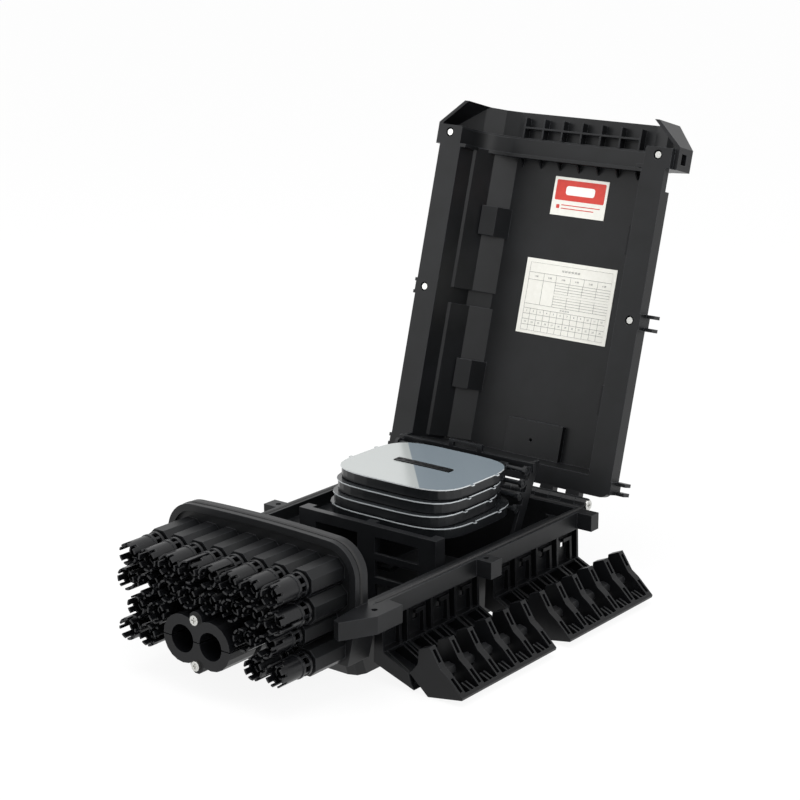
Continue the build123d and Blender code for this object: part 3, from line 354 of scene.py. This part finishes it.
def pick_faces(piece, wanted):
    """In edit mode, select the faces whose centre passes a test, in millimetres."""
    bpy.ops.mesh.select_mode(type="FACE")
    bpy.ops.mesh.select_all(action="DESELECT")
    bpy.ops.object.mode_set(mode="OBJECT")
    for face in piece.data.polygons:
        face.select = wanted(face.center / MM)
    bpy.ops.object.mode_set(mode="EDIT")


def finish_piece(piece, name, body, material):
    """Name a piece, give it its finish and its body."""
    piece.name = name
    piece.data.name = name
    piece.data.materials.clear()
    piece.data.materials.append(material)
    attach(piece, body)


def join_all(pieces):
    """Join pieces into the first."""
    bpy.ops.object.select_all(action="DESELECT")
    for piece in pieces:
        piece.select_set(True)
    bpy.context.view_layer.objects.active = pieces[0]
    bpy.ops.object.join()
    return pieces[0]


def sheet(centre, width, height, columns=1, rows=1):
    """A flat sheet of cells, in millimetres, with its place in its mesh."""
    bpy.ops.object.select_all(action="DESELECT")
    bpy.ops.mesh.primitive_grid_add(x_subdivisions=columns, y_subdivisions=rows, size=MM,
                                    location=Vector(centre) * MM)
    piece = bpy.context.object
    piece.scale = (width, height, 1)
    settle(piece)
    return piece


def tube(sides, radius, start, end):
    """An open tube round Z, in millimetres."""
    bpy.ops.mesh.primitive_cylinder_add(vertices=sides, radius=radius * MM, end_fill_type="NOTHING",
                                        depth=(end - start) * MM, location=(0, 0, (start + end) / 2 * MM))


def swing_open():
    """The turn that takes a piece of the lid from the shut place to its open rest."""
    hinge = Vector(HINGE_PLACE) * MM
    return Matrix.Translation(hinge) @ Matrix.Rotation(math.radians(-LID_OPEN), 4, "X") \
        @ Matrix.Translation(-hinge)


class BoxLooks(bpy.types.PropertyGroup):
    """Sizes and colours of the box that a user would change"""
    edge_radius: FloatProperty(name="Edge radius", description="Rounding of moulded edges",
                               default=0.6 * MM, min=0.1 * MM, max=2 * MM, unit="LENGTH")
    crown_radius: FloatProperty(name="Crown radius", description="Outer radius of the drop clamps",
                                default=8.9 * MM, min=6 * MM, max=10 * MM, unit="LENGTH")
    rule_width: FloatProperty(name="Rule width", description="Width of the printed lines of the chart",
                              default=0.34 * MM, min=0.1 * MM, max=MM, unit="LENGTH")
    floor_colour: FloatVectorProperty(name="Floor", description="Colour of the studio floor",
                                      subtype="COLOR", default=hex_colour("#fbfbfb")[:3])


class BOX_OT_dress_shells(bpy.types.Operator):
    """Black moulded shell, lid, rack, frame and clamps"""
    bl_idname = "box.dress_shells"
    bl_label = "Dress the shells"

    def execute(self, context):
        edge = context.scene.box_looks.edge_radius / MM
        # moulded ASA: black, even and satin, with a soft painted highlight along its edges
        shell = moulded_plastic("black_asa_moulded", "#0c0d0e", "#141517", 0.4, 0.55, edge, 0.24)
        dress(["base_shell", "lid_shell"], shell)
        # moulded nylon: deeper black and a little slicker
        ribbed = moulded_plastic("black_nylon_moulded", "#09090a", "#111214", 0.36, 0.45, edge * 0.7, 0.2)
        dress(["latch_link_" + n for n in LATCHES] + ["latch_lever_" + n for n in LATCHES],
              ribbed)
        # moulded polypropylene: deep black, with a painted highlight along its rims
        clamp = moulded_plastic("black_polypropylene_moulded", "#08080a", "#101113", 0.33, 0.5,
                                edge * 0.6, 0.2)
        dress(["cable_clamp_upper", "cable_clamp_lower"], clamp)
        # moulded ABS: a shade greyer and smoother than the shell
        inner = moulded_plastic("black_abs_moulded", "#0e0f11", "#17181a", 0.34, 0.5, edge * 0.7, 0.3)
        dress(["tray_rack", "holder_frame"], inner)
        return {"FINISHED"}


class BOX_OT_make_drop_clamps(bpy.types.Operator):
    """Toothed crowns of the drop clamps, one in each port sleeve"""
    bl_idname = "box.make_drop_clamps"
    bl_label = "Make the drop clamps"

    def execute(self, context):
        outer = context.scene.box_looks.crown_radius / MM
        # moulded polyamide: deep black, with a painted highlight along the edges of its teeth
        material = moulded_plastic("black_polyamide_crown", "#08080a", "#121315", 0.3, 0.5, 0.3, 0.3)
        bpy.ops.object.select_all(action="DESELECT")
        # the crown, drawn upright round Z with its back at zero
        tube(CROWN_SIDES, outer, CROWN_START, CROWN_END)
        crown = context.object
        settle(crown)
        bpy.ops.object.mode_set(mode="EDIT")
        for level in CROWN_LEVELS:
            bpy.ops.mesh.select_all(action="SELECT")
            bpy.ops.mesh.bisect(plane_co=(0, 0, level * MM), plane_no=(0, 0, 1))
        cage, ring, plate, lip = CROWN_LEVELS

        def side_of(centre, sides):
            return int(math.degrees(math.atan2(centre.y, centre.x)) % 360 / (360 / sides))

        def gap(centre):
            """Windows of the cage, the two slots between the jaws, and the notches between the teeth."""
            side = side_of(centre, CROWN_SIDES)
            slot = side % (CROWN_SIDES // 2)
            last = CROWN_SIDES // 2 - 1
            if centre.z < cage:
                return side % CROWN_TOOTH_SIDES != 0
            if centre.z < ring:
                return False
            if centre.z < plate:
                return slot == 0
            if centre.z < lip:
                return slot in (0, last)
            return side % CROWN_TOOTH_SIDES == 0 or slot == last

        pick_faces(crown, gap)
        bpy.ops.mesh.delete(type="FACE")
        # two raised rings, the neck in the sleeve and the inner grip with its own slots
        tube(CROWN_SIDES, outer + RING_STEP, CROWN_START, CROWN_START + RING_HEIGHT)
        tube(CROWN_SIDES, outer + RING_STEP, cage, ring)
        tube(CROWN_SIDES, outer - NECK_STEP, NECK_START, CROWN_START + NECK_LAP)
        middle = ring + GRIP_RISE
        tube(GRIP_SIDES, outer - GRIP_STEP, middle - GRIP_LENGTH / 2, middle + GRIP_LENGTH / 2)
        pick_faces(crown, lambda c: c.z > ring - GRIP_DROP and math.hypot(c.x, c.y) < outer - GRIP_CLEAR
                   and side_of(c, GRIP_SIDES) % 3 == 1)
        bpy.ops.mesh.delete(type="FACE")
        bpy.ops.object.mode_set(mode="OBJECT")
        modify(crown, "SOLIDIFY", thickness=CROWN_WALL * MM, offset=-1.0)
        finish_edges(crown, CROWN_BEVEL)
        upright = Matrix.Rotation(math.radians(90), 4, "X")
        for row, places in zip(ROWS, PORT_ROWS):
            copies = []
            for number, (x, z) in enumerate(places):
                turn = TURN_STEP * (number + 3 * ROWS.index(row)) % 180
                select_only(crown)
                bpy.ops.object.duplicate()
                copy = context.object
                settle(copy, Matrix.Translation(Vector((x, CLAMP_BACK, z)) * MM)
                       @ Matrix.Rotation(math.radians(turn), 4, "Y") @ upright)
                copies.append(copy)
            piece = join_all(copies)
            finish_piece(piece, "drop_crowns_row_" + row, "base", material)
            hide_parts("drop_clamps_row_" + row)
        select_only(crown)
        bpy.ops.object.delete()
        return {"FINISHED"}


class BOX_OT_make_pin_sleeve(bpy.types.Operator):
    """Ribbed sleeve on the middle of the hinge pin"""
    bl_idname = "box.make_pin_sleeve"
    bl_label = "Make the pin sleeve"

    def execute(self, context):
        bpy.ops.object.select_all(action="DESELECT")
        bpy.ops.mesh.primitive_cylinder_add(vertices=SLEEVE_SIDES, radius=SLEEVE_RADIUS * MM,
                                            end_fill_type="NGON",
                                            depth=2 * SLEEVE_HALF * MM, location=Vector(HINGE_PLACE) * MM,
                                            rotation=(0, math.radians(90), 0))
        sleeve = context.object
        settle(sleeve)
        pitch = 2 * SLEEVE_HALF / SLEEVE_BANDS
        bpy.ops.object.mode_set(mode="EDIT")
        for band in range(SLEEVE_BANDS):
            for edge in BAND_SPAN:
                bpy.ops.mesh.select_all(action="SELECT")
                bpy.ops.mesh.bisect(plane_co=(((band + edge) * pitch - SLEEVE_HALF) * MM, 0, 0),
                                    plane_no=(1, 0, 0))
        pick_faces(sleeve, lambda c: BAND_SPAN[0] < ((c.x + SLEEVE_HALF) / pitch) % 1 < BAND_SPAN[1]
                   and abs(c.x) < SLEEVE_HALF)
        bpy.ops.mesh.extrude_region_shrink_fatten(TRANSFORM_OT_shrink_fatten={"value": BAND_RISE * MM})
        bpy.ops.mesh.select_all(action="SELECT")
        bpy.ops.mesh.normals_make_consistent(inside=False)
        bpy.ops.object.mode_set(mode="OBJECT")
        finish_edges(sleeve, SLEEVE_BEVEL)
        # moulded acetal: black and slightly waxy
        black = moulded_plastic("black_acetal_sleeve", "#0c0d0e", "#151618", 0.34, 0.5, 0.3, 0.3)
        finish_piece(sleeve, "hinge_pin_sleeve", "base", black)
        return {"FINISHED"}


class BOX_OT_dress_trays(bpy.types.Operator):
    """Splice trays with their clear covers, and the comb in the slot of the top one"""
    bl_idname = "box.dress_trays"
    bl_label = "Dress the trays"

    def execute(self, context):
        # moulded ABS: charcoal, with a soft satin gloss and a wide painted highlight along its edges and
        # round sides
        tray = moulded_plastic("charcoal_abs_tray", "#0f1113", "#181a1c", 0.3, 0.5, 1.6, 0.36)
        dress(["splice_tray_%d" % n for n in TRAYS], tray)
        # clear polystyrene over a dark tray looks nearly black, with a painted highlight on its cut edge
        under = clear_film("clear_film_over_tray", "#1e2022", "#1e2022", "#aeb3b6")
        dress(["tray_cover_%d" % n for n in TRAYS[:-1]], under)
        # clear polystyrene drawn with a painted reflection of the pale studio: blue-grey, paler on its left
        # part, with a painted highlight on its cut edge
        over = clear_film("clear_film_cover", "#9fa3a2", "#727c83", "#c2c6c8")
        dress(["tray_cover_%d" % TRAYS[-1]], over)
        # the splice comb that shows in the slot of the top cover
        low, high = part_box("tray_cover_%d" % TRAYS[-1])
        top = high[2] / MM
        middle = (low[1] + high[1]) / 2 / MM
        comb = sheet((0, middle + COMB_SHIFT, top + COMB_STAND), COMB_LENGTH, COMB_WIDTH,
                     COMB_CELLS, COMB_ROWS)
        bpy.ops.object.mode_set(mode="EDIT")
        pick_faces(comb, lambda c: abs(c.y - middle - COMB_SHIFT) < COMB_WIDTH / COMB_ROWS / 2
                   and round(c.x / COMB_LENGTH * COMB_CELLS + 0.5) % 3 != 0)
        bpy.ops.mesh.inset(thickness=COMB_RIM * MM, depth=-COMB_DEPTH * MM)
        bpy.ops.object.mode_set(mode="OBJECT")
        modify(comb, "SOLIDIFY", thickness=COMB_THICKNESS * MM, offset=-1.0)
        # moulded ABS: matt black, so that the slots between the teeth read as dark
        black = moulded_plastic("black_splice_comb", "#060607", "#0d0e0f", 0.35, 0.5, 0.2, 0.25)
        finish_piece(comb, "splice_comb", "tray_%d" % TRAYS[-1], black)
        return {"FINISHED"}


class BOX_OT_dress_fittings(bpy.types.Operator):
    """Seals, pins, screws and label film"""
    bl_idname = "box.dress_fittings"
    bl_label = "Dress the fittings"

    def execute(self, context):
        # EPDM rubber: dull black, a little dusty
        rubber = plain_sheet("epdm_rubber", "#0e0e0f", 0.7, "#09090a")
        dress(["rim_seal", "arch_seal", "port_seals", "cable_seal"], rubber)
        # nickel plate: bright, with turning marks
        steel = plated_steel("nickel_plated_steel", "#e4e4e0", 0.2)
        dress(["hinge_screws", "lid_screws", "clamp_screws"], steel)
        # turned steel: greyer and duller than the plated screws
        pin = plated_steel("turned_steel", "#8d8d8c", 0.35)
        dress(["hinge_pin"] + ["link_pin_" + n for n in LATCHES], pin)
        # printed polyester film: even warm white
        paper = plain_sheet("printed_film", "#e2e1da", 0.5, "#dddcd4")
        dress(["chart_label", "small_label"], paper)
        return {"FINISHED"}


class BOX_OT_print_labels(bpy.types.Operator):
    """Ruled chart with plain numbers, and the red band of the small label"""
    bl_idname = "box.print_labels"
    bl_label = "Print the labels"

    def chart(self, left, top, width, height, columns=1, rows=1):
        """One ruled field of the chart, in millimetres from the label's top left corner."""
        return sheet((CHART_LEFT + left + width / 2, CHART_TOP + top + height / 2, PRINT_LEVEL),
                     width, height, columns, rows)

    def number(self, text, across, down, size):
        """Plain numbers centred on a place of the chart, facing down when the lid is shut."""
        bpy.ops.object.select_all(action="DESELECT")
        bpy.ops.object.text_add(location=((CHART_LEFT + across) * MM, (CHART_TOP + down) * MM,
                                          (PRINT_LEVEL - PRINT_LIFT) * MM), rotation=(math.pi, 0, 0))
        letters = bpy.context.object
        letters.data.body = text
        letters.data.size = size * MM
        letters.data.align_x = "CENTER"
        letters.data.align_y = "CENTER"
        letters.data.resolution_u = 2
        letters.data.extrude = NUMBER_DEPTH * MM
        bpy.ops.object.convert(target="MESH")
        settle(bpy.context.object)
        return bpy.context.object

    def patch(self, across, down, width, height, corner):
        """A flat printed patch with rounded corners, placed from the middle of the small label."""
        piece = sheet((SMALL_CENTRE[0] + across, SMALL_CENTRE[1] + down, PRINT_LEVEL), width, height)
        bpy.ops.object.mode_set(mode="EDIT")
        bpy.ops.mesh.select_all(action="SELECT")
        bpy.ops.mesh.bevel(offset=corner * MM, segments=PATCH_STEPS, affect="VERTICES")
        bpy.ops.object.mode_set(mode="OBJECT")
        modify(piece, "SOLIDIFY", thickness=PATCH_THICKNESS * MM, offset=0.0)
        return piece

    def execute(self, context):
        # printing inks on polyester film: thin, even and matt
        ink = plain_sheet("grey_printing_ink", "#4c4e50", 0.6, "#404244")
        red = plain_sheet("red_printing_ink", "#c8372b", 0.5, "#bd3126")
        white = plain_sheet("white_printing_ink", "#eeeeea", 0.5, "#e8e8e4")
        columns = list(zip(CHART_COLUMNS, CHART_COLUMNS[1:]))
        fields = [self.chart(*field) for field in CHART_FIELDS]
        fields += [self.chart(left, HEADER_TOP, right - left, HEADER_HEIGHT) for left, right in columns]
        rules = join_all(fields)
        settle(rules)
        modify(rules, "WIREFRAME", thickness=context.scene.box_looks.rule_width, use_even_offset=False)
        texts = [self.number(*line) for line in CHART_LINES]
        for place, (left, right) in enumerate(columns):
            texts.append(self.number("%d 00" % (1 + place), (left + right) / 2, HEADER_MIDDLE, NUMBER_SIZE))
        for place in range(CELL_COUNT):
            texts.append(self.number(str(place + 1),
                                     CELL_PLACE[0] + CELL_PITCH[0] * (place % CELLS_IN_ROW + 0.5),
                                     CELL_PLACE[1] + CELL_PITCH[1] * (place // CELLS_IN_ROW), NUMBER_SIZE))
        numbers = join_all(texts)
        band = self.patch(*BAND_PATCH)
        window = self.patch(*WINDOW_PATCH)
        settle(window, Matrix.Translation((0, 0, -PRINT_LIFT * MM)))
        marks = join_all([self.patch(*patch) for patch in LINE_PATCHES])
        for piece, name, material in ((rules, "chart_rules", ink), (numbers, "chart_numbers", ink),
                                      (band, "small_label_band", red), (window, "small_label_window", white),
                                      (marks, "small_label_lines", red)):
            settle(piece, swing_open())
            finish_piece(piece, name, "lid", material)
        return {"FINISHED"}


class BOX_OT_build_stage(bpy.types.Operator):
    """White floor and backdrop, soft studio lamps and the camera"""
    bl_idname = "box.build_stage"
    bl_label = "Build the stage"

    def seen(self, tree):
        """One for rays that show the background: from the camera, off gloss and through glass."""
        path = add_node(tree, "ShaderNodeLightPath")
        pair = add_node(tree, "ShaderNodeMath", [(0, path.outputs["Is Camera Ray"]),
                                                 (1, path.outputs["Is Glossy Ray"])], operation="MAXIMUM")
        return add_node(tree, "ShaderNodeMath", [(0, pair.outputs[0]),
                                                 (1, path.outputs["Is Transmission Ray"])],
                        operation="MAXIMUM").outputs[0]

    def execute(self, context):
        looks = context.scene.box_looks
        bpy.ops.object.select_all(action="DESELECT")
        bpy.ops.mesh.primitive_plane_add(size=FLOOR_SIZE, location=(0, 0, 0))
        floor = context.object
        floor.name = "studio_floor"
        # white paper sweep: reads as white, and still keeps a faint shadow
        material, tree, shader = new_material("white_paper_sweep")
        shader.inputs["Base Color"].default_value = list(looks.floor_colour) + [1.0]
        shader.inputs["Roughness"].default_value = 0.9
        glow = add_node(tree, "ShaderNodeEmission", in_Strength=1.0)
        share = add_node(tree, "ShaderNodeMath", [(0, self.seen(tree))], operation="MULTIPLY",
                         in_1=FLOOR_GLOW)
        mixed = add_node(tree, "ShaderNodeMixShader", [(0, share.outputs[0]), (1, shader.outputs["BSDF"]),
                                                       (2, glow.outputs["Emission"])])
        tree.links.new(mixed.outputs[0], tree.nodes["Material Output"].inputs["Surface"])
        floor.data.materials.append(material)
        world = bpy.data.worlds.new("studio_world")
        world.use_nodes = True
        tree = world.node_tree
        plain = tree.nodes["Background"]
        plain.inputs["Color"].default_value = hex_colour("#ffffff")
        plain.inputs["Strength"].default_value = WORLD_LIGHT
        white = add_node(tree, "ShaderNodeBackground", in_Color=hex_colour("#ffffff"), in_Strength=1.0)
        mixed = add_node(tree, "ShaderNodeMixShader", [(0, self.seen(tree)), (1, plain.outputs[0]),
                                                       (2, white.outputs[0])])
        tree.links.new(mixed.outputs[0], tree.nodes["World Output"].inputs["Surface"])
        context.scene.world = world
        for name, place, size, power in LAMPS:
            lamp = bpy.data.lights.new(name, "AREA")
            lamp.size = size
            lamp.energy = power
            holder = bpy.data.objects.new(name, lamp)
            holder.location = place
            aim = Vector(LAMP_AIM) - Vector(place)
            holder.rotation_euler = aim.to_track_quat("-Z", "Y").to_euler()
            context.scene.collection.objects.link(holder)
        camera = bpy.data.cameras.new("photo_camera")
        camera.lens = CAMERA_LENS
        camera.sensor_width = CAMERA_SENSOR
        holder = bpy.data.objects.new("photo_camera", camera)
        holder.location = CAMERA_PLACE
        holder.rotation_euler = (math.radians(90 - CAMERA_DIP), 0, math.radians(CAMERA_TURN))
        context.scene.collection.objects.link(holder)
        context.scene.camera = holder
        context.scene.view_settings.view_transform = "Standard"
        return {"FINISHED"}


class BOX_PT_panel(bpy.types.Panel):
    """Sidebar panel with the looks and the steps"""
    bl_idname = "BOX_PT_panel"
    bl_label = "Distribution box"
    bl_space_type = "VIEW_3D"
    bl_region_type = "UI"
    bl_category = "Distribution box"

    def draw(self, context):
        for look in ("edge_radius", "crown_radius", "rule_width", "floor_colour"):
            self.layout.prop(context.scene.box_looks, look)
        for step in STEPS:
            self.layout.operator(step.bl_idname)


STEPS = (BOX_OT_dress_shells, BOX_OT_make_drop_clamps, BOX_OT_make_pin_sleeve, BOX_OT_dress_trays,
         BOX_OT_dress_fittings, BOX_OT_print_labels, BOX_OT_build_stage)
CLASSES = (BoxLooks, BOX_PT_panel) + STEPS


def register():
    for kind in CLASSES:
        bpy.utils.register_class(kind)
    bpy.types.Scene.box_looks = PointerProperty(type=BoxLooks)


def unregister():
    del bpy.types.Scene.box_looks
    for kind in reversed(CLASSES):
        bpy.utils.unregister_class(kind)


def main():
    register()
    bpy.ops.box.dress_shells()
    bpy.ops.box.make_drop_clamps()
    bpy.ops.box.make_pin_sleeve()
    bpy.ops.box.dress_trays()
    bpy.ops.box.dress_fittings()
    bpy.ops.box.print_labels()
    bpy.ops.box.build_stage()


if __name__ == "__main__":
    main()
